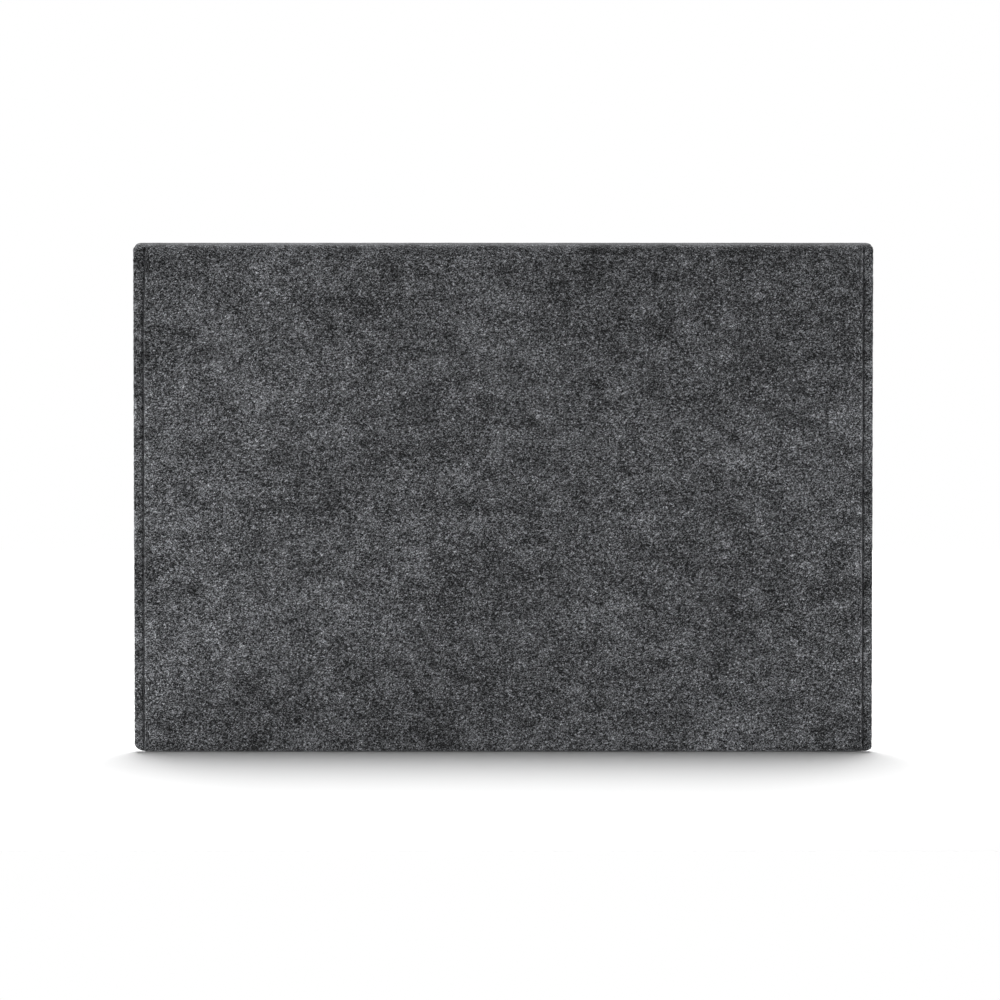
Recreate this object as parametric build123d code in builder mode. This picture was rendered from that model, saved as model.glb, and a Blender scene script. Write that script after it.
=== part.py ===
"""Felt laptop sleeve: one strip of thick felt folded into a pocket with a flap over its mouth.

The strip runs front panel, bottom fold, back panel, rear bend, top strip, front bend, flap. Two side seams
sew the front panel to the back panel, and two pairs of hook and loop tapes hold the flap shut.
X runs along the folds, Y from the back panel to the flap and Z up. The origin is under the middle of the sleeve,
on the surface that it stands on. Left and right are those of a person looking at the back panel.
"""

import os

from build123d import *

# Driving dimensions, in millimetres
WIDTH = 370.0  # from cut edge to cut edge
HEIGHT = 255.0  # from the bottom fold to the top fold
FELT = 3.0  # thickness of the felt
POCKET_DEPTH = 13.0  # clear depth between the panels
CORNER_RADIUS = 4.0  # of the sleeve's outline
TOP_BEND_INNER = 1.5  # inside radius of the two bends over the mouth
FOLD_FLAT = 0.2  # left flat under the tight fold at the side edges
MARGIN = 7.0  # width over which the two panels lie on each other at each side
RAMP = 9.0  # width over which the front panel rises from the margin
RAMP_RADIUS = 6.0  # of the front panel's middle line where it leaves and meets the ramp
MOUTH_GAP = 2.0  # from the front panel's top edge to the strip above it
FLAP_LENGTH = 105.0  # from the top fold to the flap's lower edge
FLAP_CORNER = 16.0  # radius of the flap's two lower corners

SEAM_INSET = 4.7  # from the cut edge to the side seam
SEAM_END = 1.5  # from the bottom fold and the front panel's top edge to the seam's ends
SEAM_PITCH = 4.65
SEAM_STITCH = 4.0  # visible length of one stitch
TACK_STEP = 1.9  # from the seam to the back-tack beside it
TACK_STITCHES = 2
THREAD = 0.7  # diameter of the thread
GROOVE_WIDTH = 1.5  # of the groove that a row of stitches presses into the felt
GROOVE_DEPTH = 0.9

TAPE_WIDTH = 40.0  # along X
HOOK_HEIGHT = 20.0
LOOP_HEIGHT = 26.0
TAPE_THICK = 1.1
TAPE_GAP = 0.3  # between a hook tape and its loop tape
TAPE_SPREAD = 200.0  # between the middles of the two tapes in a pair
HOOK_RISE = 9.0  # from the flap's lower edge to the hook tape
TAPE_STITCH_INSET = 2.2
TAPE_PITCH = 3.0
TAPE_STITCH = 2.5
TAPE_GROOVE_DEPTH = 0.7  # in a tape's own face

# Places worked out from them
HALF = WIDTH / 2
TAPE_STACK = 2 * TAPE_THICK + TAPE_GAP
THICKNESS = 3 * FELT + POCKET_DEPTH + TAPE_STACK
BACK_Y = -THICKNESS / 2
BACK_INNER_Y = BACK_Y + FELT
MARGIN_Y = BACK_INNER_Y + FELT
FRONT_INNER_Y = BACK_INNER_Y + POCKET_DEPTH
FRONT_Y = FRONT_INNER_Y + FELT
FLAP_INNER_Y = FRONT_Y + TAPE_STACK
FLAP_Y = FLAP_INNER_Y + FELT
FOLD_TOP_Z = FELT + FOLD_FLAT
TOP_BEND_MIDDLE = TOP_BEND_INNER + FELT / 2
TOP_BEND_Z = HEIGHT - TOP_BEND_INNER - FELT
STRIP_Z = HEIGHT - FELT
FRONT_TOP_Z = STRIP_Z - MOUTH_GAP
FLAP_BOTTOM_Z = HEIGHT - FLAP_LENGTH
HOOK_Z = FLAP_BOTTOM_Z + HOOK_RISE + HOOK_HEIGHT / 2
SEAM_X = HALF - SEAM_INSET
SEAM_LOW_Z = FOLD_TOP_Z + SEAM_END
SEAM_HIGH_Z = FRONT_TOP_Z - SEAM_END
SIDES = {"left": -1, "right": 1}


def at_y(y):
    """The upright plane at y, with its X along X and its Y along Z. Its normal is -Y, so depths into +Y are negative."""
    return Plane.XZ.offset(-y)


def save(piece, name):
    """Label one finished piece and write it as its own file."""
    piece.part.label = name
    export_step(piece.part, f"parts/{name}.step")


def row(length, pitch):
    """Middles of the stitches that fill a length, counted from its middle."""
    count = int(length // pitch)
    return [(i - (count - 1) / 2) * pitch for i in range(count)]


def front_line():
    """Middle line of the front panel in plan: flat on the back panel at the margins, raised between them."""
    low_y = BACK_INNER_Y + FELT / 2
    high_y = FRONT_INNER_Y + FELT / 2
    foot = HALF - MARGIN
    top = foot - RAMP
    return [(-HALF, low_y), (-foot, low_y), (-top, high_y), (top, high_y), (foot, low_y), (HALF, low_y)]


def front_section(z):
    """Section of the front panel in plan at height z, a band one felt thick."""
    with BuildSketch(Plane.XY.offset(z)) as section:
        with BuildLine():
            FilletPolyline(*front_line(), radius=RAMP_RADIUS)
        trace(line_width=FELT)
    return section.sketch


def back_section(z):
    """Section of the back panel in plan at height z."""
    with BuildSketch(Plane.XY.offset(z)) as section:
        with Locations((0, BACK_Y + FELT / 2)):
            Rectangle(WIDTH, FELT)
    return section.sketch


def outline():
    """The sleeve's outline as seen from the back, with its corners rounded."""
    with BuildSketch(Plane.XZ) as face:
        with Locations((0, HEIGHT / 2)):
            RectangleRounded(WIDTH, HEIGHT, CORNER_RADIUS)
    return face.sketch


def seam_rows():
    """Heights of a side seam's stitches, from the bottom up, and of the middles of its two back-tacks."""
    middle_z = (SEAM_LOW_Z + SEAM_HIGH_Z) / 2
    rows = [middle_z + z for z in row(SEAM_HIGH_Z - SEAM_LOW_Z, SEAM_PITCH)]
    reach = (TACK_STITCHES - 1) * SEAM_PITCH / 2
    return rows, [rows[0] + reach, rows[-1] - reach]


def seam_grooves(face_y):
    """Grooves that the two side seams and their back-tacks press into a face."""
    rows, tack_middles = seam_rows()
    tack_x = SEAM_X - TACK_STEP
    with BuildSketch(at_y(face_y)) as grooves:
        with Locations([(x, (rows[0] + rows[-1]) / 2) for x in (-SEAM_X, SEAM_X)]):
            Rectangle(GROOVE_WIDTH, len(rows) * SEAM_PITCH)
        with Locations([(x, z) for x in (-tack_x, tack_x) for z in tack_middles]):
            Rectangle(GROOVE_WIDTH, TACK_STITCHES * SEAM_PITCH)
    return grooves.sketch


def tape_frame(height):
    """Width and height of the rectangle that a tape is sewn along."""
    return TAPE_WIDTH - 2 * TAPE_STITCH_INSET, height - 2 * TAPE_STITCH_INSET


def tape_grooves(face_y, height, places):
    """Grooves that the stitching of tapes of one height presses into a face, round each of the places."""
    wide, high = tape_frame(height)
    with BuildSketch(at_y(face_y)) as grooves:
        with Locations(*places):
            Rectangle(wide + GROOVE_WIDTH, high + GROOVE_WIDTH)
            Rectangle(wide - GROOVE_WIDTH, high - GROOVE_WIDTH, mode=Mode.SUBTRACT)
    return grooves.sketch


def tape_x(side):
    return side * TAPE_SPREAD / 2


TAPE_PLACES = [(tape_x(side), HOOK_Z) for side in SIDES.values()]

os.makedirs("parts", exist_ok=True)

# Back panel: a flat sheet from the bottom fold up to the rear bend
with BuildPart() as back_panel:
    extrude(back_section(FOLD_TOP_Z), amount=TOP_BEND_Z - FOLD_TOP_Z)
    extrude(seam_grooves(BACK_Y), amount=-GROOVE_DEPTH, mode=Mode.SUBTRACT)
save(back_panel, "back_panel")

# Bottom fold: the strip turned up on both sides of a flat base, drawn tight at the side edges
with BuildPart() as bottom_fold:
    with BuildSketch(Plane.XY):
        with BuildLine():
            Polyline((-HALF, BACK_Y), *front_line(), (HALF, BACK_Y), close=True)
        make_face()
        add(front_section(0))
        add(back_section(0))
    extrude(amount=FELT)
    extrude(front_section(FELT), amount=FOLD_TOP_Z - FELT)
    extrude(back_section(FELT), amount=FOLD_TOP_Z - FELT)
    base_edges = bottom_fold.edges().group_by(Axis.Z)[0]
    long_edges = base_edges.filter_by(lambda edge: abs(edge.center().X) < HALF - FELT / 4)
    fillet(long_edges, radius=FELT - FOLD_FLAT / 2)
    extrude(outline(), amount=THICKNESS, both=True, mode=Mode.INTERSECT)
save(bottom_fold, "bottom_fold")

# Front panel: lies on the back panel at the side margins and stands clear of it between them
with BuildPart() as front_panel:
    extrude(front_section(FOLD_TOP_Z), amount=FRONT_TOP_Z - FOLD_TOP_Z)
    extrude(seam_grooves(MARGIN_Y), amount=GROOVE_DEPTH, mode=Mode.SUBTRACT)
    extrude(tape_grooves(FRONT_INNER_Y, LOOP_HEIGHT, TAPE_PLACES), amount=-GROOVE_DEPTH, mode=Mode.SUBTRACT)
save(front_panel, "front_panel")

# Rear and front bends: quarter turns of the strip over the mouth's two edges
BENDS = {
    "top_rear_bend": (BACK_Y + FELT + TOP_BEND_INNER, 90),
    "top_front_bend": (FLAP_Y - FELT - TOP_BEND_INNER, 0),
}
for bend_name, (centre_y, start_angle) in BENDS.items():
    with BuildPart() as bend:
        with BuildSketch(Plane.YZ):
            with BuildLine():
                CenterArc((centre_y, TOP_BEND_Z), TOP_BEND_MIDDLE, start_angle, 90)
            trace(line_width=FELT)
        extrude(amount=HALF, both=True)
        extrude(outline(), amount=THICKNESS, both=True, mode=Mode.INTERSECT)
    save(bend, bend_name)

# Top strip: the flat stretch over the mouth, between the two bends
with BuildPart() as top_strip:
    with BuildSketch(Plane.XY.offset(STRIP_Z)):
        Rectangle(WIDTH, THICKNESS - 2 * (FELT + TOP_BEND_INNER))
    extrude(amount=FELT)
    extrude(outline(), amount=THICKNESS, both=True, mode=Mode.INTERSECT)
save(top_strip, "top_strip")

# Flap: hangs from the front bend over the front panel
with BuildPart() as flap:
    with BuildSketch(at_y(FLAP_Y)):
        with Locations((0, (FLAP_BOTTOM_Z + TOP_BEND_Z) / 2)):
            Rectangle(WIDTH, TOP_BEND_Z - FLAP_BOTTOM_Z)
        fillet(vertices().group_by(Axis.Y)[0], radius=FLAP_CORNER)
    extrude(amount=FELT)
    extrude(tape_grooves(FLAP_Y, HOOK_HEIGHT, TAPE_PLACES), amount=GROOVE_DEPTH, mode=Mode.SUBTRACT)
save(flap, "flap")


def seam_thread(side, face_y, outward):
    """One thread of a side seam: a row of stitches on the groove's floor, with a back-tack beside each end."""
    rows, _ = seam_rows()
    tacks = rows[:TACK_STITCHES] + rows[-TACK_STITCHES:]
    places = [(side * SEAM_X, z) for z in rows] + [(side * (SEAM_X - TACK_STEP), z) for z in tacks]
    with BuildPart() as thread:
        with BuildSketch(at_y(face_y - outward * GROOVE_DEPTH)):
            with Locations(*places):
                SlotOverall(SEAM_STITCH, THREAD, rotation=90)
        extrude(amount=-outward * THREAD)
    return thread


def tape_thread(side, floor_y, outward, height):
    """One thread of a tape: stitches round a rectangle, on the floor of the groove that they press."""
    wide, high = tape_frame(height)
    across = [(x, edge * high / 2) for x in row(wide, TAPE_PITCH) for edge in (-1, 1)]
    up = [(edge * wide / 2, z) for z in row(high, TAPE_PITCH) for edge in (-1, 1)]
    middle = (tape_x(side), HOOK_Z)
    with BuildPart() as thread:
        with BuildSketch(at_y(floor_y)):
            with Locations(middle):
                with Locations(*across):
                    SlotOverall(TAPE_STITCH, THREAD)
                with Locations(*up):
                    SlotOverall(TAPE_STITCH, THREAD, rotation=90)
        extrude(amount=-outward * THREAD)
    return thread


def tape(side, face_y, outward, height):
    """One tape lying on the felt, with its stitching pressed into the face that looks along outward."""
    with BuildPart() as strip:
        with BuildSketch(at_y(face_y)):
            with Locations((tape_x(side), HOOK_Z)):
                RectangleRounded(TAPE_WIDTH, height, TAPE_STITCH_INSET / 2)
        extrude(amount=outward * TAPE_THICK)
        grooves = tape_grooves(face_y, height, [(tape_x(side), HOOK_Z)])
        extrude(grooves, amount=outward * TAPE_GROOVE_DEPTH, mode=Mode.SUBTRACT)
    return strip


for side_name, side in SIDES.items():
    # Side seam: the needle thread shows on the back panel, the bobbin thread on the front panel's margin
    save(seam_thread(side, BACK_Y, -1), f"seam_needle_thread_{side_name}")
    save(seam_thread(side, MARGIN_Y, 1), f"seam_bobbin_thread_{side_name}")

    # Hook tape inside the flap, with its needle thread on the tape and its bobbin thread outside on the flap
    hook_face_y = FLAP_INNER_Y - TAPE_THICK
    save(tape(side, hook_face_y, -1, HOOK_HEIGHT), f"hook_tape_{side_name}")
    save(tape_thread(side, hook_face_y + TAPE_GROOVE_DEPTH, -1, HOOK_HEIGHT), f"hook_needle_thread_{side_name}")
    save(tape_thread(side, FLAP_Y - GROOVE_DEPTH, 1, HOOK_HEIGHT), f"hook_bobbin_thread_{side_name}")

    # Loop tape on the front panel, with its bobbin thread inside the pocket
    loop_face_y = FRONT_Y + TAPE_THICK
    save(tape(side, loop_face_y, 1, LOOP_HEIGHT), f"loop_tape_{side_name}")
    save(tape_thread(side, loop_face_y - TAPE_GROOVE_DEPTH, 1, LOOP_HEIGHT), f"loop_needle_thread_{side_name}")
    save(tape_thread(side, FRONT_INNER_Y + GROOVE_DEPTH, -1, LOOP_HEIGHT), f"loop_bobbin_thread_{side_name}")
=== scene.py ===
"""Looks of a felt laptop sleeve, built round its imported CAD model.

Lengths are in millimetres until a mesh is made. X runs across the sleeve, Y from its back to its flap and
Z up.
"""
import math

import bpy
import numpy as np
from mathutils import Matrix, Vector, noise


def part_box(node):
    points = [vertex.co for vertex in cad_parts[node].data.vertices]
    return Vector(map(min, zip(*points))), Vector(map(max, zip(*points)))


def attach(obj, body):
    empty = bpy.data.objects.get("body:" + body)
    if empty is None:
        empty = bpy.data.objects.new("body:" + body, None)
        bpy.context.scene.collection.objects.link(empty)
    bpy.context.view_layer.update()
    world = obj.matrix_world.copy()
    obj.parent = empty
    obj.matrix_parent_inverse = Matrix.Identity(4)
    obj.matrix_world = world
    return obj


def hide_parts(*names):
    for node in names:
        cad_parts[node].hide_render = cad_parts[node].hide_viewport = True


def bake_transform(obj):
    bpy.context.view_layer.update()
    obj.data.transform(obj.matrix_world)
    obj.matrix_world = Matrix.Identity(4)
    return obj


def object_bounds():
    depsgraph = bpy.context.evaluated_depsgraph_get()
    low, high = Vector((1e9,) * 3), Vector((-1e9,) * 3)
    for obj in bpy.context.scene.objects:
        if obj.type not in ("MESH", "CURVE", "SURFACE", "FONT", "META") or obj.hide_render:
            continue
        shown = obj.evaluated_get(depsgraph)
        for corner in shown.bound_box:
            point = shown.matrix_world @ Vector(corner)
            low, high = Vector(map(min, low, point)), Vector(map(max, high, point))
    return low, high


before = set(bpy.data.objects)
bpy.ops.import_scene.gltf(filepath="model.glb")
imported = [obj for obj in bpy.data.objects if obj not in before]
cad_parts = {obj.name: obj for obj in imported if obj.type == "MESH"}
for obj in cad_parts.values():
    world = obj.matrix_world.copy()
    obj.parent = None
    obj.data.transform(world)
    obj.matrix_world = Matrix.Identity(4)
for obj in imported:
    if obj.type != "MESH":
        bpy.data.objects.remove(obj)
cad_low, cad_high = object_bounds()

# Camera. A long lens a few degrees above the middle of the sleeve, so that the plain back panel is seen
# straight on. The sleeve stands a little right of the middle of the view and a little above it.
MM = 0.001
BACK_FACE = cad_low.y / MM
TOP = cad_high.z / MM
VIEW_WIDTH, CAMERA_DISTANCE, CAMERA_RISE = 501.0, 5000.0, 4.5
AIM_ASIDE, AIM_BELOW = -1.6, 0.45
AIM = Vector((AIM_ASIDE, BACK_FACE, TOP / 2 - AIM_BELOW))
camera = bpy.data.objects.new("camera", bpy.data.cameras.new("camera"))
bpy.context.collection.objects.link(camera)
bpy.context.scene.camera = camera
camera.data.sensor_width = 36.0
camera.data.lens = camera.data.sensor_width * CAMERA_DISTANCE / VIEW_WIDTH
camera.data.clip_end = 60.0
towards = Vector((0, -math.cos(math.radians(CAMERA_RISE)), math.sin(math.radians(CAMERA_RISE))))
camera.location = (AIM + towards * CAMERA_DISTANCE) * MM
camera.rotation_euler = (-towards).to_track_quat("-Z", "Y").to_euler()

# Studio. A white table in a white room: a long soft panel overhead, just behind the sleeve, drops a soft
# shadow forward on the table, and a low soft box at each side rakes across the back panel.
bpy.context.scene.view_settings.view_transform = "Standard"
ROOM_LIGHT = 0.06
world = bpy.data.worlds.new("white_room")
bpy.context.scene.world = world
world.use_nodes = True
room = world.node_tree
seen = room.nodes.new("ShaderNodeLightPath")
strength = room.nodes.new("ShaderNodeMapRange")
strength.inputs["To Min"].default_value = ROOM_LIGHT
strength.inputs["To Max"].default_value = 1.0
room.links.new(seen.outputs["Is Camera Ray"], strength.inputs["Value"])
room.links.new(strength.outputs["Result"], room.nodes["Background"].inputs["Strength"])
room.nodes["Background"].inputs["Color"].default_value = (1, 1, 1, 1)


def soft_box(name, place, aim, size, watts):
    """A rectangular lamp at place, in metres, that looks at aim."""
    lamp = bpy.data.objects.new(name, bpy.data.lights.new(name, "AREA"))
    lamp.data.shape = "RECTANGLE"
    lamp.data.size, lamp.data.size_y = size
    lamp.data.energy = watts
    lamp.location = place
    lamp.rotation_euler = (Vector(aim) - Vector(place)).to_track_quat("-Z", "Y").to_euler()
    bpy.context.collection.objects.link(lamp)


MIDDLE = (0, 0, TOP / 2 * MM)
OVERHEAD_SIZE, OVERHEAD_HEIGHT = (1.1, 1.5), 1.3
SIDE_BOX_SIZE, SIDE_BOX_HEIGHT = (0.4, 0.1), 0.055
overhead_y = BACK_FACE * MM + OVERHEAD_SIZE[1] / 2
soft_box("overhead", (0, overhead_y, OVERHEAD_HEIGHT), (0, overhead_y, 0), OVERHEAD_SIZE, 44.5)
soft_box("left_side", (-0.95, -0.34, SIDE_BOX_HEIGHT), MIDDLE, SIDE_BOX_SIZE, 10.7)
soft_box("right_side", (1.05, -0.38, SIDE_BOX_HEIGHT), MIDDLE, SIDE_BOX_SIZE, 8.8)


class Wire:
    """An output socket of a shader tree. Sums on wires and numbers add the Math nodes that they need."""

    def __init__(self, tree, output):
        self.tree, self.output = tree, output

    def maths(self, operation, *values):
        node = self.tree.nodes.new("ShaderNodeMath")
        node.operation = operation
        for socket, value in zip(node.inputs, values):
            join(self.tree, socket, value)
        return Wire(self.tree, node.outputs[0])

    def __add__(self, other):
        return self.maths("ADD", self, other)

    def __mul__(self, other):
        return self.maths("MULTIPLY", self, other)

    def __sub__(self, other):
        return self.maths("SUBTRACT", self, other)

    def __rsub__(self, other):
        return self.maths("SUBTRACT", other, self)

    def __pow__(self, other):
        return self.maths("POWER", self, other)

    __radd__, __rmul__ = __add__, __mul__


def join(tree, socket, value):
    """Link a wire to a socket, or set the socket to a plain value."""
    if isinstance(value, Wire):
        tree.links.new(value.output, socket)
    else:
        socket.default_value = value


class Finish:
    """A material in the making, with its Principled shader as shader."""

    def __init__(self, name):
        self.material = bpy.data.materials.new(name)
        self.material.use_nodes = True
        self.tree = self.material.node_tree
        self.shader = self.tree.nodes["Principled BSDF"]

    def node(self, kind, settings, sockets, output=0):
        """Add a node, set its settings and then its sockets, and return one of its outputs."""
        made = self.tree.nodes.new("ShaderNode" + kind)
        for name, value in settings.items():
            setattr(made, name, value)
        for name, value in sockets.items():
            join(self.tree, made.inputs[name], value)
        return Wire(self.tree, made.outputs[output])

    def set(self, **sockets):
        """Set or link the shader's own sockets, named with underscores for spaces."""
        for name, value in sockets.items():
            join(self.tree, self.shader.inputs[name.replace("_", " ")], value)

    def place(self):
        """The object's own coordinates, in metres."""
        return self.node("TexCoord", {}, {}, "Object")

    def grain(self, place, scale, detail=2.0, rough=0.5, warp=0.0):
        """Noise about 0, from -1 to 1, with humps 1 / scale metres apart."""
        sockets = {"Vector": place, "Scale": scale, "Detail": detail, "Roughness": rough, "Distortion": warp}
        return (self.node("TexNoise", {}, sockets, "Fac") - 0.5) * 2

    def tinted(self, colour, shade):
        """One colour, made lighter and darker by a wire about 1."""
        return self.node("VectorMath", {"operation": "SCALE"}, {0: colour, "Scale": shade})

    def bumpy(self, height, strength, depth):
        """A normal for a surface that stands up by height, in depths of metres."""
        return self.node("Bump", {}, {"Strength": strength, "Distance": depth, "Height": height})


def add_mesh(name, points, faces, materials, finishes=None):
    """A smooth mesh object from points in millimetres, with a finish number for each face."""
    mesh = bpy.data.meshes.new(name)
    mesh.from_pydata((np.asarray(points) * MM).tolist(), [], faces)
    mesh.polygons.foreach_set("use_smooth", np.ones(len(mesh.polygons), bool))
    for material in materials:
        mesh.materials.append(material)
    if finishes is not None:
        mesh.polygons.foreach_set("material_index", finishes)
    mesh.update()
    made = bpy.data.objects.new(name, mesh)
    bpy.context.collection.objects.link(made)
    return made


TABLE_FROM, TABLE_TO = (-550, -450), (550, 1200)
white = Finish("table_white")
white.set(Base_Color=(0.97, 0.97, 0.97, 1), Roughness=0.9, Specular_IOR_Level=0.0)
(left, near), (right, far) = TABLE_FROM, TABLE_TO
table_outline = (left, near), (right, near), (right, far), (left, far)
table_corners = [(x, y, cad_low.z / MM) for x, y in table_outline]
add_mesh("table", table_corners, [(0, 1, 2, 3)], [white.material])

# Felt strip. One length of 3 mm grey melange needle felt makes the front panel, the bottom, the back, the
# top and the flap: it is cut to shape, folded at the bottom and over the mouth, its edges left raw. It is
# made here as three pieces that meet in the middle of the underside and in the middle of the top.
SLEEVE, TOP_PART, FLAP_PART = "sleeve", "top", "flap"
back_low, back_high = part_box("back_panel")
front_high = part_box("front_panel")[1]
FELT = (back_high.y - back_low.y) / MM
HALF = cad_high.x / MM
FLAP_FACE = cad_high.y / MM
BEND_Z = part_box("top_rear_bend")[0].z / MM
FRONT_TOP = front_high.z / MM
FRONT_FACE = front_high.y / MM
FLAP_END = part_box("flap")[0].z / MM
FLAP_CORNER = 16.0
BEND_RADIUS = TOP - BEND_Z - FELT / 2
FOLD_RADIUS = FELT / 2 - 0.1
POCKET = FRONT_FACE - BACK_FACE - 2 * FELT
MARGIN, RISE_WIDTH = 6.2, 12.5
BACK_MIDDLE, FLAP_MIDDLE, TOP_MIDDLE = BACK_FACE + FELT / 2, FLAP_FACE - FELT / 2, TOP - FELT / 2

# Sizes of the stitching and of the tapes, which press into the felt.
seam_low, seam_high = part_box("seam_needle_thread_left")
hook_low, hook_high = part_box("hook_tape_left")
loop_low, loop_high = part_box("loop_tape_left")
right_hook_low, right_hook_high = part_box("hook_tape_right")
STITCH, STITCH_LENGTH, GROOVE, TACK_STEP, TACK_STITCHES = 4.65, 4.0, 4.8, 1.9, 2
SEAM_FROM = seam_low.z / MM + STITCH_LENGTH / 2
SEAM_TO = seam_high.z / MM - STITCH_LENGTH / 2
TAPE_STITCH, TAPE_INSET = 3.0, 2.2
TAPE_WIDTH = (hook_high.x - hook_low.x) / MM
TAPE_X = (right_hook_low.x + right_hook_high.x) / 2 / MM
TAPE_Z = (hook_low.z + hook_high.z) / 2 / MM
HOOK_HEIGHT = (hook_high.z - hook_low.z) / MM
LOOP_HEIGHT = (loop_high.z - loop_low.z) / MM


def smooth(t):
    """A step from 0 to 1 with level ends."""
    t = np.clip(t, 0, 1)
    return t * t * (3 - 2 * t)


def hump(t):
    """A bell about one unit wide round 0."""
    return np.exp(-t * t)


def waves(points, size, seed):
    """Gentle unevenness from -1 to 1 at points, with humps about size apart."""
    offset = Vector((seed * 17.3, seed * 5.1, seed * 9.7))
    humps = [noise.noise(Vector(p) / size + offset) for p in points.reshape(-1, 3)]
    return np.array(humps).reshape(points.shape[:-1])


FINE_STEP, FINE_WIDTH, STEP_GROWTH, LEAST_GAP = 0.4, 9, 1.12, 0.35


def spaced(widest, fine_places):
    """Places across the strip, close together over the side seams and round the fine places."""
    edge, step = [0.0], FINE_STEP
    while edge[-1] < HALF:
        edge.append(edge[-1] + step)
        step = min(widest, step * (STEP_GROWTH if edge[-1] > FINE_WIDTH else 1))
    edge = np.array(edge) * HALF / edge[-1]
    coarse = np.concatenate([edge - HALF, (HALF - edge)[-2::-1]])
    near = np.array([np.min(np.abs(fine_places - x)) for x in coarse])
    return np.sort(np.concatenate([coarse[near > LEAST_GAP], fine_places]))


def inset(x):
    """How far in from the strip's cut side edge."""
    return HALF - np.abs(x)


def by_side(x, pair):
    """The first of a pair of values at the left of the strip, and the second at the right."""
    return np.where(x < 0, *pair)


PULL_DEPTH, PULL_REACH = (0.3, 0.65), (3.8, 10.4)


def back_line(x):
    """Middle of the back panel's felt across the strip: the side seams pull it in."""
    beside = smooth((inset(x) - GROOVE) / by_side(x, PULL_REACH))
    return BACK_MIDDLE + by_side(x, PULL_DEPTH) * (1 - beside)


def front_line(x):
    """Middle of the front panel's felt: flat on the back panel at its margins, and raised between them."""
    return back_line(x) + FELT + POCKET * smooth((inset(x) - MARGIN) / RISE_WIDTH)


# Rounding of the corners at the left and right, -1 and 1, of the bottom and top, 0 and 1.
CORNERS = {(-1, 0): 5.0, (1, 0): 2.9, (-1, 1): 2.1, (1, 1): 1.7}


def narrowed(height, side, end):
    """Half width of the strip at a height of its outer face, near the top or the bottom corner of a side."""
    radius = CORNERS[side, end]
    past = np.clip(radius - (TOP - height if end else height), 0, radius)
    return HALF - radius + math.sqrt(radius * radius - past * past)


def row(across, y, z, outer_z, limit=1e3):
    """One row of the strip's middle surface. y and z are numbers or one value for each place across."""
    end = 1 if outer_z > TOP / 2 else 0
    left, right = (min(limit, narrowed(outer_z, side, end)) for side in (-1, 1))
    x = np.where(across < 0, across * left / HALF, across * right / HALF)
    return np.stack([x, np.broadcast_to(y, x.shape), np.broadcast_to(z, x.shape)], axis=-1)


def turn(across, centre_y, centre_z, radius, start, end, reach, steps):
    """Rows of a bend, by angle in degrees from +Y. reach is the radius of its outer face in height."""
    rows = []
    for a in np.radians(np.linspace(start, end, steps)):
        y, z = centre_y + radius * math.cos(a), centre_z + radius * math.sin(a)
        rows.append(row(across, y, z, centre_z + reach * math.sin(a)))
    return rows


GROOVE_FROM, GROOVE_TO = 1.0, TOP - 2.0
DRIFT, DRIFT_FROM, DRIFT_HEIGHT = (1.0, 0.0), TOP - 48, 44
LIP_DEPTH, LIP_OUTWARD, LIP_INWARD = (0.38, 0.62), 2.4, 0.4
LINE_WIDTH = 0.6


def along_seam(z):
    """1 along a side seam's groove, falling to 0 at its ends."""
    return smooth((z - GROOVE_FROM) / 2) * smooth((GROOVE_TO - z) / 1.2)


def seam_drift(x, z):
    """How much further in the left seam runs towards the top."""
    return by_side(x, DRIFT) * smooth((z - DRIFT_FROM) / DRIFT_HEIGHT)


def holes_along(way, pitch):
    """A wave along a line of stitching, with a crest at each needle hole."""
    return 0.5 - 0.5 * np.cos(way / pitch * 2 * math.pi)


def stitch_press(distance, hole, depth, hole_depth):
    """How deep a line of stitching presses in at a distance from it: deeper at its needle holes."""
    return (depth + hole_depth * hole**2) * hump(distance / LINE_WIDTH)


def seam_press(points):
    """How deep the side seams, their back-tacks and the needle holes press into a face at points."""
    x, z = points[..., 0], points[..., 2]
    past = GROOVE + seam_drift(x, z) - inset(x)
    hole = holes_along(z - SEAM_FROM, STITCH)
    lip = by_side(x, LIP_DEPTH) * np.exp(-np.abs(past) / np.where(past > 0, LIP_OUTWARD, LIP_INWARD))
    reach = TACK_STITCHES * STITCH - 2
    tacked = smooth((SEAM_FROM + reach - z) / 1.5) + smooth((z - SEAM_TO + reach) / 1.5)
    line = stitch_press(past, hole, 0.4, 0.45)
    tack = stitch_press(past + TACK_STEP, hole, 0.3, 0.35) * tacked
    return along_seam(z) * (line + lip + tack)


def tape_edge(points, height):
    """Distance from points to the line that tapes of one height are sewn along, and that line's holes."""
    dx, dz = np.abs(points[..., 0]) - TAPE_X, points[..., 2] - TAPE_Z
    over_x, over_z = np.abs(dx) - TAPE_WIDTH / 2 + TAPE_INSET, np.abs(dz) - height / 2 + TAPE_INSET
    outside = np.hypot(np.maximum(over_x, 0), np.maximum(over_z, 0))
    distance = outside + np.minimum(np.maximum(over_x, over_z), 0)
    return np.abs(distance), holes_along(np.where(over_x > over_z, dz, dx), TAPE_STITCH)


def hook_press(points):
    """How deep the hook tapes' stitching presses into the flap's outer face."""
    distance, hole = tape_edge(points, HOOK_HEIGHT)
    return stitch_press(distance, hole, 0.4, 0.35) + 0.3 * np.exp(-distance / 1.1)


def loop_press(points):
    """How deep the loop tapes' stitching presses into the pocket's inner face."""
    distance, hole = tape_edge(points, LOOP_HEIGHT)
    return stitch_press(distance, hole, 0.4, 0.35)


def unpressed(points):
    """A face with no stitching in it."""
    return np.zeros(points.shape[:-1])


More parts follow.
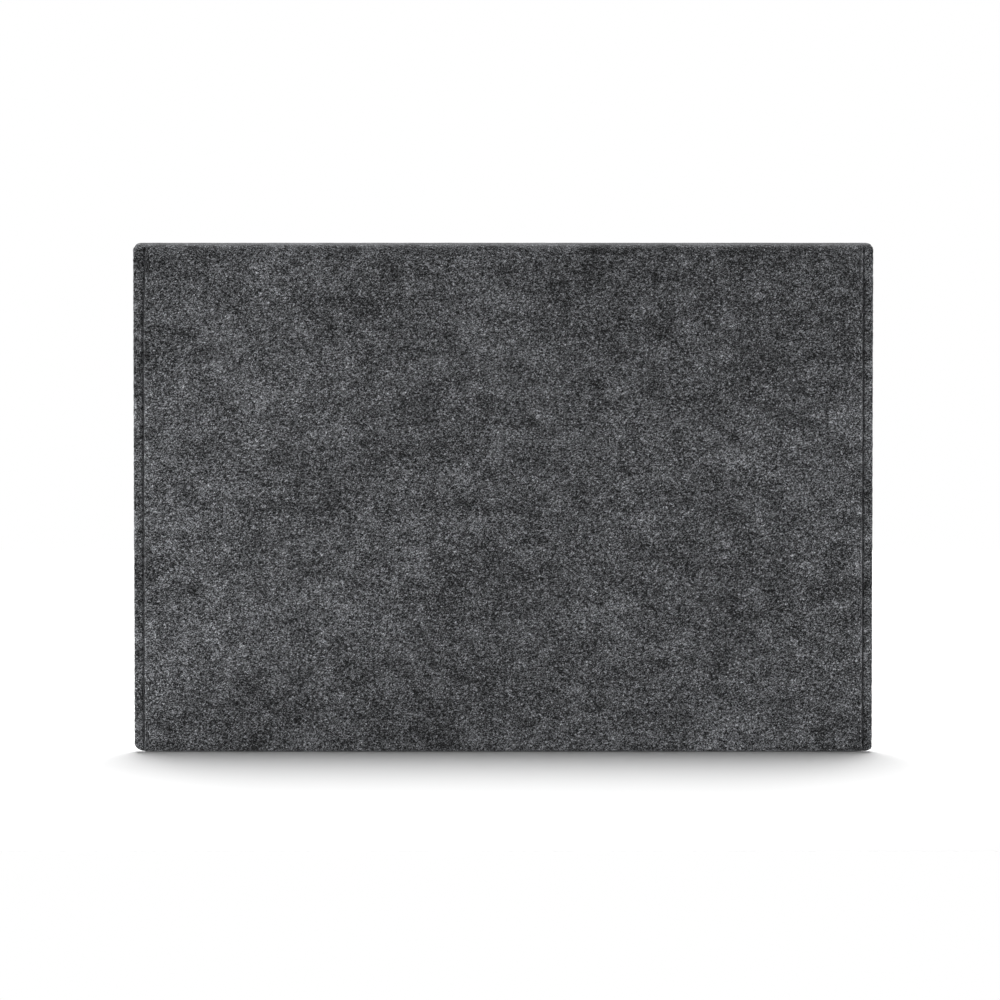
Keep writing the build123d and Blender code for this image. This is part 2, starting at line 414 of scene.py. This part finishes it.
def off_tapes(points):
    """0 at the tapes, where the felt is held flat, and 1 well away from them."""
    over_x = np.abs(np.abs(points[..., 0]) - TAPE_X) - TAPE_WIDTH / 2
    over_z = np.abs(points[..., 2] - TAPE_Z) - LOOP_HEIGHT / 2
    return smooth((np.maximum(over_x, over_z) - 1) / 20)


# Creases that run in from the seams: side, height, length and depth.
PUCKERS = [
    (-1, 232, 7, 0.3),
    (-1, 206.5, 16, 0.22),
    (1, 227, 20, 0.25),
    (1, 212, 8, 0.24),
    (1, 190.5, 22, 0.25),
    (1, 77, 42, 0.16),
]


def back_wave(points):
    """The back panel's unevenness: wide shallow waves, and the puckers."""
    swell = 0.3 * waves(points, 95, 3) + 0.12 * waves(points, 34, 4)
    from_seam = inset(points[..., 0]) - GROOVE
    for side, height, reach, rise in PUCKERS:
        on_side = np.sign(points[..., 0]) == side
        fade = smooth((from_seam + 1) / 2) * (1 - smooth(from_seam / reach))
        swell = swell - rise * on_side * fade * hump((points[..., 2] - height + 0.06 * from_seam) / 1.3)
    return swell * smooth(points[..., 2] / 12) * smooth((BEND_Z + 2 - points[..., 2]) / 12)


def front_wave(points):
    """The front panel goes with the back panel at its sewn margins, and has slacker waves between."""
    between = smooth((inset(points[..., 0]) - 8) / 30)
    own = 0.5 * waves(points, 80, 6) * off_tapes(points) * smooth(points[..., 2] / 12)
    return back_wave(points) * (1 - between) + own * between


def flap_wave(points):
    """The flap hangs in slow waves, and its lower edge turns in a little."""
    hang = smooth((BEND_Z - points[..., 2]) / 30) * off_tapes(points)
    curl = smooth((FLAP_END + 14 - points[..., 2]) / 14)
    return hang * (0.3 * waves(points, 60, 8) - 0.45 * curl)


def grid(shape):
    """The vertex numbers of a grid of points, its quads, and the ring of vertices round its edge."""
    index = np.arange(shape[0] * shape[1]).reshape(shape)
    a, b, c, d = index[:-1, :-1], index[:-1, 1:], index[1:, 1:], index[1:, :-1]
    quads = np.stack([a, b, c, d], axis=-1).reshape(-1, 4)
    ring = np.concatenate([index[0, :], index[1:, -1], index[-1, -2::-1], index[-2:0:-1, 0]])
    return index, quads, ring


FUZZ_SEED = 11
CUT_STEPS = (0.3, 0.7)
CUT_BULGE, CUT_FRAYING = 0.1, 0.2
INNER_GAP = 0.04


def felt_piece(name, rows, press_outside, press_inside, wave, joined_rows, material):
    """A closed piece of felt from rows of its middle surface.

    joined_rows, 0 and -1, are where the strip goes on in another piece. Its other edges are cut, with the
    faces worn round and the fibres bulging a little between them.
    """
    middle = np.array(rows)
    middle[..., 1] += wave(middle)
    normal = np.cross(np.gradient(middle, axis=1), np.gradient(middle, axis=0))
    normal /= np.linalg.norm(normal, axis=-1, keepdims=True)
    fuzz = 0.05 * waves(middle, 3.1, FUZZ_SEED) + 0.05 * waves(middle, 7.7, FUZZ_SEED + 1)
    from_edge = np.where(middle[..., 0] < 0, -middle[:, :1, 0], middle[:, -1:, 0]) - np.abs(middle[..., 0])
    for end in {0, -1} - set(joined_rows):
        from_edge = np.minimum(from_edge, np.abs(middle[..., 2] - middle[end, 0, 2]))
    worn = 0.4 * np.exp(-from_edge / 0.4) + 0.1 * hump(from_edge / 1.2)
    out = middle + normal * (FELT / 2 + fuzz - press_outside(middle) - worn)[..., None]
    back = middle - normal * (FELT / 2 - INNER_GAP - press_inside(middle) - 0.7 * worn)[..., None]
    away = np.zeros_like(middle)
    away[:, 0] += middle[:, 0] - middle[:, 1]
    away[:, -1] += middle[:, -1] - middle[:, -2]
    for end, inner in ((0, 1), (-1, -2)):
        if end not in joined_rows:
            step = middle[end] - middle[inner]
            away[end] += step * np.linalg.norm(away[end, 0]) / np.linalg.norm(step, axis=-1, keepdims=True)
    away /= np.maximum(np.linalg.norm(away, axis=-1, keepdims=True), 1e-9)
    index, face, ring = grid(middle.shape[:2])
    out, back, away, centre = (surface.reshape(-1, 3) for surface in (out, back, away, middle))
    cut = CUT_BULGE + CUT_FRAYING * waves(centre[ring], 1.7, FUZZ_SEED + 2)
    loops = [ring]
    points = [out, back]
    for n, t in enumerate(CUT_STEPS):
        points.append(out[ring] * (1 - t) + back[ring] * t + away[ring] * cut[:, None])
        loops.append(2 * index.size + n * len(ring) + np.arange(len(ring)))
    loops.append(ring + index.size)
    quads = [face, face[:, [0, 3, 2, 1]] + index.size]
    for near, far in zip(loops, loops[1:]):
        quads.append(np.stack([near, far, np.roll(far, -1), np.roll(near, -1)], axis=-1))
    made = add_mesh(name, np.concatenate(points), np.concatenate(quads).tolist(), [material])
    joined = {int(v) + side for end in joined_rows for v in index[end] for side in (0, index.size)}
    for edge in made.data.edges:
        if edge.vertices[0] in joined and edge.vertices[1] in joined:
            edge.use_edge_sharp = True
    return made


CHARCOAL = (0.0472, 0.0484, 0.0512)
DARKEST, SHADE_CURVE = 0.25, 2.2
FIBRE_LAYERS, DOWN_LAYERS = range(6), range(6, 10)
CURLED_HAIRS = (0.55, 0.5, -0.4)
CARDED = (0.74, 1, 1)


def drawn_out(felt, place, angle, times):
    """Coordinates drawn out one way, so that grain comes out as lengths of fibre."""
    sockets = {"Vector": place, "Rotation": (0.35, angle, 0.2), "Scale": (1, 1, times)}
    return felt.node("Mapping", {"vector_type": "TEXTURE"}, sockets)


def felt_finish():
    """Dark grey melange felt: charcoal wool with paler and black fibres tangled in it, matt and hairy.

    Straight fibres and fine down lie in layers, each turned from the last. Clumps and clouds of paler wool
    are a little wider than tall, from the carding, and single hairs curl over them.
    """
    felt = Finish("grey_melange_felt")
    place = felt.place()
    fine = felt.grain(place, 2700, 2, 0.7)
    carded = felt.node("Mapping", {}, {"Vector": place, "Scale": CARDED})
    clumps = felt.grain(carded, 120, 3, 0.8)
    cloud = felt.grain(carded, 17, 3, 0.6)
    fibres = 0.0
    for number in FIBRE_LAYERS:
        along = drawn_out(felt, place, 0.2 + number * (math.pi / 6), 6)
        fibres = felt.grain(along, 1500 + 60 * number, 1, 0.5, 0.5) + fibres
    down = 0.0
    for number in DOWN_LAYERS:
        along = drawn_out(felt, place, 0.2 + number * (math.pi / 4 + 0.1), 7)
        down = felt.grain(along, 3300, 0, 0.5, 0.3) + down
    curls = 0.0
    for number, paler in enumerate(CURLED_HAIRS):
        shift = (0.31 * number, 0.17, 0.23 * number)
        shifted = felt.node("VectorMath", {"operation": "ADD"}, {0: place, 1: shift})
        path = felt.grain(shifted, 330, 1, 0.5, 0.6)
        part = felt.grain(shifted, 420, 1, 0.5)
        on_path = path.maths("MAXIMUM", 1 - path.maths("ABSOLUTE", path) * 15, 0.0)
        curls = on_path * path.maths("MAXIMUM", part * 3 - 0.35, 0.0) * paler + curls
    tone = fibres * 0.5 + down * 1.1 + fine * 1.1 + clumps + cloud * 0.5 + curls
    shade = tone.maths("MAXIMUM", tone + 1.0, DARKEST) ** SHADE_CURVE
    hairs = felt.bumpy(fine * 0.6 + fibres * 0.8, 0.35, 0.0002)
    felt.set(Base_Color=felt.tinted(CHARCOAL, shade), Roughness=0.95, Normal=hairs)
    felt.set(Specular_IOR_Level=0.15, Sheen_Weight=0.12, Sheen_Roughness=0.5)
    return felt.material


ROW_STEP = STITCH / 4
BASE_Z = FELT / 2 + 0.1
FOLD_Z = BASE_Z + FOLD_RADIUS
strip_from, strip_to = BACK_MIDDLE + BEND_RADIUS, FLAP_MIDDLE - BEND_RADIUS
near_line = np.array([-1.2, -0.8, -0.45, -0.15, 0.15, 0.45, 0.8, 1.2])
tape_sides = np.array([s * TAPE_X + e * (TAPE_WIDTH / 2 - TAPE_INSET) for s in (-1, 1) for e in (-1, 1)])
plain = spaced(4.0, np.array([0.0]))
lined = spaced(4.0, (tape_sides[:, None] + near_line).ravel())
over_tapes = np.arange(-TAPE_WIDTH / 2 - 1.5, TAPE_WIDTH / 2 + 1.6, TAPE_STITCH / 4)
stitched = spaced(3.0, np.concatenate([over_tapes - TAPE_X, over_tapes + TAPE_X]))


def heights(low, high, step):
    """Heights from low to high, about a step apart."""
    return np.linspace(low, high, max(2, round((high - low) / step)))


def base_line(across):
    """Middle of the underside across the strip, and how far it reaches from there to each fold."""
    front_y, back_y = front_line(across), back_line(across)
    return (back_y + front_y) / 2, (front_y - back_y) / 2 - FOLD_RADIUS


# Rows of the front panel, from its top down and round to the middle of the underside.
front_y = front_line(lined)
base_middle, base_reach = base_line(lined)
front_rows = [row(lined, front_y, z, z) for z in heights(FOLD_Z, FRONT_TOP, ROW_STEP)[::-1]]
front_rows += turn(lined, front_y - FOLD_RADIUS, FOLD_Z, FOLD_RADIUS, 0, -90, FOLD_Z, 8)[1:]
front_rows += [row(lined, base_middle + base_reach * t, BASE_Z, 0) for t in (0.67, 0.33, 0.0)]

# Rows of the back panel, from the middle of the underside up and over to the middle of the top.
back_y = back_line(plain)
base_middle, base_reach = base_line(plain)
back_rows = [row(plain, base_middle - base_reach * t, BASE_Z, 0) for t in (0.0, 0.34, 0.67)]
back_rows += turn(plain, back_y + FOLD_RADIUS, FOLD_Z, FOLD_RADIUS, -90, -180, FOLD_Z, 8)[:-1]
back_rows += [row(plain, back_y, z, z) for z in heights(FOLD_Z, BEND_Z, ROW_STEP)]
bend_middle = BACK_MIDDLE + BEND_RADIUS + (back_y - BACK_MIDDLE) * 0.6
back_rows += turn(plain, bend_middle, BEND_Z, BEND_RADIUS, 180, 90, TOP - BEND_Z, 12)[1:]
back_rows += [row(plain, y, TOP_MIDDLE, TOP) for y in np.linspace(strip_from, 0, 7)[1:]]

# Rows of the flap, from the middle of the top over and down to its edge, with its corners cut round.
flap_rows = [row(stitched, y, TOP_MIDDLE, TOP) for y in np.linspace(0, strip_to, 7)[:-1]]
flap_rows += turn(stitched, strip_to, BEND_Z, BEND_RADIUS, 90, 0, TOP - BEND_Z, 12)
tape_low, tape_high = TAPE_Z - HOOK_HEIGHT / 2 - 1, TAPE_Z + HOOK_HEIGHT / 2 + 1
above_tape = heights(tape_high, BEND_Z, 1.8)[-2::-1]
beside_tape = heights(tape_low, tape_high, TAPE_STITCH / 4)[-2::-1]
below_tape = FLAP_END + (tape_low - FLAP_END) * (1 - np.sin(np.linspace(0, math.pi / 2, 14)[1:]))
for z in np.concatenate([above_tape, beside_tape, below_tape]):
    past = max(0.0, FLAP_CORNER - (z - FLAP_END))
    widest = HALF - FLAP_CORNER + math.sqrt(FLAP_CORNER**2 - past**2)
    flap_rows.append(row(stitched, FLAP_MIDDLE, z, z, widest))

grey_felt = felt_finish()
felt_front = felt_piece("felt_front", front_rows, seam_press, loop_press, front_wave, (-1,), grey_felt)
felt_back = felt_piece("felt_back", back_rows, seam_press, unpressed, back_wave, (0, -1), grey_felt)
felt_flap = felt_piece("felt_flap", flap_rows, hook_press, unpressed, flap_wave, (0,), grey_felt)
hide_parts("front_panel", "bottom_fold")
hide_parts("back_panel", "top_rear_bend")
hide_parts("flap", "top_front_bend", "top_strip")
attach(felt_front, SLEEVE)
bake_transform(felt_back)
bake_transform(felt_flap)

# Seam threads. A strong dark grey polyester thread, two plies twisted, sews the side margins in lockstitch:
# the needle thread lies along a groove in the back panel and the bobbin thread along one in the front panel.
# Both ends of each seam are sewn over with a short second line.
PLY, PLY_SPREAD, TWIST, DIVE, LEAN = 0.21, 0.16, 1.7, 1.1, 0.07
THREAD_STEPS, THREAD_SIDES = 13, 6


def thread_finish():
    """Dark grey polyester sewing thread: fine filaments along each ply, with a low soft shine."""
    thread = Finish("grey_polyester_thread")
    place = thread.place()
    filaments = thread.grain(place, 9000, 1, 0.5)
    cloud = thread.grain(place, 300, 2, 0.6)
    shade = filaments * 0.5 + cloud * 0.5 + 1.0
    ridges = thread.bumpy(filaments, 0.4, 0.00004)
    thread.set(Base_Color=thread.tinted((0.030, 0.031, 0.034), shade), Roughness=0.62, Normal=ridges)
    thread.set(Specular_IOR_Level=0.3, Sheen_Weight=0.15, Sheen_Roughness=0.4)
    return thread.material


def tube(line, radius, sides, up):
    """Points and faces of a closed tube along a line. up is any direction that the line doesn't run in."""
    along = np.gradient(line, axis=0)
    along /= np.linalg.norm(along, axis=1, keepdims=True)
    across = np.cross(along, up)
    across /= np.linalg.norm(across, axis=1, keepdims=True)
    rise = np.cross(across, along)
    angles = np.linspace(0, 2 * math.pi, sides, endpoint=False)
    ring = across[:, None] * np.cos(angles)[:, None] + rise[:, None] * np.sin(angles)[:, None]
    points = (line[:, None] + ring * np.reshape(radius, (-1, 1, 1))).reshape(-1, 3)
    faces = []
    for n in range(len(line) - 1):
        for k in range(sides):
            a, b = n * sides + k, n * sides + (k + 1) % sides
            faces.append((a, b, b + sides, a + sides))
    faces.append(tuple(range(sides))[::-1])
    faces.append(tuple(range(len(points) - sides, len(points))))
    return points, faces


def gathered(tubes):
    """Points and faces of many tubes as one mesh."""
    points, faces, count = [], [], 0
    for some_points, some_faces in tubes:
        points.append(some_points)
        faces += [tuple(count + v for v in face) for face in some_faces]
        count += len(some_points)
    return np.concatenate(points), faces


def sewn(name, starts, ends, outward, body):
    """A lockstitch thread on a face: each stitch comes up out of one needle hole and goes down the next."""
    tubes = []
    t = np.linspace(-0.04, 1.04, THREAD_STEPS)[:, None]
    up = np.array([0.0, outward, 0.0])
    for number, (start, end) in enumerate(zip(np.array(starts), np.array(ends))):
        run = end - start
        length = np.linalg.norm(run)
        side = np.cross(run / length, up)
        lean = LEAN * math.sin(number * 2.4)
        core = start + run * t + side * lean * np.sin(math.pi * t) - up * DIVE * np.abs(2 * t - 1) ** 6
        angle = t * length / TWIST * 2 * math.pi + number * 1.3
        spread = (side * np.cos(angle) + up * np.sin(angle)) * PLY_SPREAD
        tubes += [tube(core + spread, PLY, THREAD_SIDES, up), tube(core - spread, PLY, THREAD_SIDES, up)]
    points, faces = gathered(tubes)
    made = add_mesh(name, points, faces, [grey_thread])
    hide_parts(name.replace("sewn_", ""))
    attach(made, body)
    return made


grey_thread = thread_finish()
seam_heights = np.arange(SEAM_FROM, SEAM_TO + 0.1, STITCH)
tack_heights = np.concatenate([seam_heights[:TACK_STITCHES], seam_heights[-TACK_STITCHES:]])
seam_inset = np.full(len(seam_heights), GROOVE)
tack_inset = np.full(len(tack_heights), GROOVE + TACK_STEP)
stitch_z = np.concatenate([seam_heights, tack_heights])
stitch_inset = np.concatenate([seam_inset, tack_inset])
half_stitch = np.array([0, 0, STITCH * 0.47])
seam_threads = {"needle": [], "bobbin": []}
for side_name, side in (("left", -1), ("right", 1)):
    for thread_name, outward, line_of, wave in (
        ("needle", -1, back_line, back_wave),
        ("bobbin", 1, front_line, front_wave),
    ):
        x = side * (HALF - stitch_inset - seam_drift(side, stitch_z))
        line = np.stack([x, line_of(x), stitch_z], axis=-1)
        floor = FELT / 2 - seam_press(line)
        line[:, 1] += wave(line) + outward * (floor + PLY)
        name = f"sewn_seam_{thread_name}_thread_{side_name}"
        made = sewn(name, line - half_stitch, line + half_stitch, outward, SLEEVE)
        seam_threads[thread_name].append(made)

# Hook tapes. A woven nylon tape under the flap at each side, with stiff nylon hooks cut from a pile of
# loops, sewn to the felt all round its edge. The bobbin thread of that stitching shows on the flap's face.
WEAVE_THICK, YARN_PITCH, RIB_PITCH = 0.45, 0.65, 0.5
# Known fault: the square is a hair under 1.1 * 1.1, so a ground's first and last rows come out as no number.
TAPE_CORNER, CORNER_SQUARE = 1.1, 1.21


def weave_finish(name, colour):
    """Woven nylon ground of a tape: warp and weft about a third of a millimetre apart, with a soft shine."""
    weave = Finish(name)
    place = weave.place()
    across = weave.node("SeparateXYZ", {}, {"Vector": place}, "X")
    up = weave.node("SeparateXYZ", {}, {"Vector": place}, "Z")
    warp, weft = (way.maths("SINE", way * (2 * math.pi / (YARN_PITCH * MM))) for way in (across, up))
    yarns = warp * weft
    fuzz = weave.grain(place, 3000, 2, 0.6)
    weave.set(Base_Color=weave.tinted(colour, yarns * 0.25 + fuzz * 0.4 + 1.0), Roughness=0.6)
    weave.set(Normal=weave.bumpy(yarns * 0.6 + fuzz * 0.3, 0.5, 0.0001), Specular_IOR_Level=0.35)
    return weave.material


def pile_finish(name, colour, roughness, sheen):
    """Nylon filaments of hooks or loops, a little lighter and darker from one to the next."""
    pile = Finish(name)
    place = pile.place()
    spots = pile.grain(place, 500, 3, 0.8)
    fine = pile.grain(place, 8000, 1, 0.5)
    pile.set(Base_Color=pile.tinted(colour, spots * 1.5 + fine * 0.5 + 1.0), Roughness=roughness)
    pile.set(Normal=pile.bumpy(fine, 0.3, 0.00003), Specular_IOR_Level=0.4, Sheen_Weight=sheen)
    return pile.material


def weave_ground(middle, height, face_y, outward):
    """Points and faces of a tape's woven ground, with its corners rounded and its stitching pressed in."""
    across = np.linspace(-TAPE_WIDTH / 2, TAPE_WIDTH / 2, 81)
    up = np.linspace(-height / 2, height / 2, 2 * int(height) + 1)
    x, z = np.meshgrid(across, up)
    over = np.maximum(np.abs(z) - height / 2 + TAPE_CORNER, 0)
    x = x * (1 - (TAPE_CORNER - np.sqrt(CORNER_SQUARE - over * over)) / (TAPE_WIDTH / 2))
    edge = np.minimum(TAPE_WIDTH / 2 - np.abs(x), height / 2 - np.abs(z))
    flat = np.stack([x + middle, np.zeros_like(x), z + TAPE_Z], axis=-1)
    distance, hole = tape_edge(flat, height)
    ribs = 0.025 * np.sin(x / RIB_PITCH * 2 * math.pi) + 0.05 * hump(edge / 0.5)
    pressed = (0.16 + 0.14 * hole) * hump(distance / 0.55)
    lift = WEAVE_THICK - 0.12 * np.exp(-edge / 0.25) + ribs - pressed
    face, under = flat.copy(), flat.copy()
    face[..., 1] = face_y + outward * lift
    under[..., 1] = face_y - outward * 0.06
    _, top, ring = grid(x.shape)
    rim = np.stack([ring, ring + x.size, np.roll(ring, -1) + x.size, np.roll(ring, -1)], axis=-1)
    quads = np.concatenate([top, top[:, ::-1] + x.size, rim])
    if outward > 0:
        quads = quads[:, ::-1]
    return np.concatenate([face.reshape(-1, 3), under.reshape(-1, 3)]), quads.tolist()


PILE_INSET, PILE_OFF_STITCHES = 0.9, 0.75


def pile_places(middle, height, step, drift, draws):
    """Places of hooks or loops over a tape, in staggered rows that keep off its edge and its stitching."""
    wide, tall = TAPE_WIDTH / 2 - PILE_INSET, height / 2 - PILE_INSET
    places = []
    for number, z in enumerate(np.arange(-tall, tall + 0.01, step[1])):
        for x in np.arange(-wide + (number % 2) * step[0] / 2, wide + 0.01, step[0]):
            spot = np.array([x + middle, 0, z + TAPE_Z]) + draws.uniform(-drift, drift, 3) * (1, 0, 1)
            if tape_edge(spot, height)[0] > PILE_OFF_STITCHES:
                places.append(spot)
    return places


def tape_stitches(middle, height, face_y):
    """Starts and ends of the stitches round a tape."""
    wide, high = TAPE_WIDTH - 2 * TAPE_INSET, height - 2 * TAPE_INSET
    starts, ends = [], []
    for length, is_across in ((wide, True), (high, False)):
        count = int(length // TAPE_STITCH)
        for edge in (-1, 1):
            for place in (np.arange(count) - (count - 1) / 2) * TAPE_STITCH:
                for reach, into in ((-0.46, starts), (0.46, ends)):
                    on = place + reach * TAPE_STITCH
                    x, z = (on, edge * high / 2) if is_across else (edge * wide / 2, on)
                    into.append((middle + x, face_y, TAPE_Z + z))
    return starts, ends


def sewn_tape(name, middle, height, face_y, outward, pile, materials, body):
    """A tape of ground and pile, in place of its CAD node."""
    ground, ground_faces = weave_ground(middle, height, face_y, outward)
    hairs, hair_faces = gathered(pile)
    faces = ground_faces + [tuple(v + len(ground) for v in face) for face in hair_faces]
    finishes = [0] * len(ground_faces) + [1] * len(hair_faces)
    made = add_mesh("woven_" + name, np.concatenate([ground, hairs]), faces, materials, finishes)
    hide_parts(name)
    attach(made, body)
    return made


# A hook from the side, from its foot in the ground to its tip: how far over, and how high.
HOOK_LINE = [(0, -0.2), (0, 0.25), (0.02, 0.42), (0.1, 0.58), (0.24, 0.6), (0.34, 0.5), (0.36, 0.38)]
HOOK_STEP, HOOK_WIRE = (1.25, 1.1), 0.085


def hooks(middle, face_y, outward, draws):
    """Hooks that stand on the tape's ground and bend over, one to each side in turn."""
    made = []
    up = np.array([0, outward, 0.0])
    shape = np.array(HOOK_LINE)
    for number, spot in enumerate(pile_places(middle, HOOK_HEIGHT, HOOK_STEP, 0.12, draws)):
        way = (number % 2 * 2 - 1) * np.array([1, 0, draws.uniform(-0.35, 0.35)])
        tall = draws.uniform(0.9, 1.04)
        foot = spot + np.array([0, face_y + outward * WEAVE_THICK, 0])
        line = foot + shape[:, :1] * way + shape[:, 1:] * tall * up
        made.append(tube(line, HOOK_WIRE, 5, np.array([0, 0.01, 1.0])))
    return made


hook_ground = weave_finish("hook_tape_ground", (0.020, 0.0205, 0.022))
hook_pile = pile_finish("hook_nylon", (0.05, 0.051, 0.054), 0.38, 0.0)
hook_finishes = [hook_ground, hook_pile]
FLAP_INNER = FLAP_FACE - FELT + INNER_GAP
FLAP_THREAD_DEPTH = 0.7
for side_name, side in (("left", -1), ("right", 1)):
    middle, name = side * TAPE_X, f"hook_tape_{side_name}"
    pile = hooks(middle, FLAP_INNER, -1, np.random.default_rng(40 + side))
    sewn_tape(name, middle, HOOK_HEIGHT, FLAP_INNER, -1, pile, hook_finishes, FLAP_PART)
    starts, ends = tape_stitches(middle, HOOK_HEIGHT, FLAP_INNER - WEAVE_THICK)
    sewn(f"sewn_hook_needle_thread_{side_name}", starts, ends, -1, FLAP_PART)
    starts, ends = tape_stitches(middle, HOOK_HEIGHT, FLAP_FACE - FLAP_THREAD_DEPTH + PLY)
    sewn(f"sewn_hook_bobbin_thread_{side_name}", starts, ends, 1, FLAP_PART)

# Loop tapes. A taller woven nylon tape at each side of the front panel, under the hooks, with a soft brushed
# pile of fine loops, sewn on all round in the same way. Its bobbin thread lies inside the pocket.
LOOP_STEP, LOOP_WIRE = (1.0, 0.95), 0.065
SLIMMEST_LOOP, WIDEST_LOOP = (0.35, 0.42, -0.3), (0.6, 0.62, 0.3)


def pile_loops(middle, face_y, outward, draws):
    """Fine loops that lean every way over the tape's ground."""
    made = []
    up = np.array([0, outward, 0.0])
    bow = np.linspace(-0.1, 1.1, 8) * math.pi
    for spot in pile_places(middle, LOOP_HEIGHT, LOOP_STEP, 0.35, draws):
        angle = draws.uniform(0, math.pi)
        wide, tall, lean = draws.uniform(SLIMMEST_LOOP, WIDEST_LOOP)
        way = np.array([math.cos(angle), 0, math.sin(angle)])
        off = np.array([-math.sin(angle), 0, math.cos(angle)])
        rise = np.sin(bow)[:, None] * tall
        line = spot + np.array([0, face_y + outward * WEAVE_THICK, 0])
        line = line - np.cos(bow)[:, None] * way * wide + rise * up + rise * off * lean
        made.append(tube(line, LOOP_WIRE, 4, off + 0.01 * up))
    return made


loop_ground = weave_finish("loop_tape_ground", (0.018, 0.0185, 0.020))
loop_pile = pile_finish("loop_nylon", (0.058, 0.060, 0.064), 0.75, 0.3)
loop_finishes = [loop_ground, loop_pile]
FRONT_INNER = FRONT_FACE - FELT + INNER_GAP
POCKET_THREAD_DEPTH = 0.4
for side_name, side in (("left", -1), ("right", 1)):
    middle, name = side * TAPE_X, f"loop_tape_{side_name}"
    pile = pile_loops(middle, FRONT_FACE, 1, np.random.default_rng(50 + side))
    sewn_tape(name, middle, LOOP_HEIGHT, FRONT_FACE, 1, pile, loop_finishes, SLEEVE)
    starts, ends = tape_stitches(middle, LOOP_HEIGHT, FRONT_FACE + WEAVE_THICK)
    sewn(f"sewn_loop_needle_thread_{side_name}", starts, ends, 1, SLEEVE)
    starts, ends = tape_stitches(middle, LOOP_HEIGHT, FRONT_INNER + POCKET_THREAD_DEPTH - PLY)
    sewn(f"sewn_loop_bobbin_thread_{side_name}", starts, ends, -1, SLEEVE)
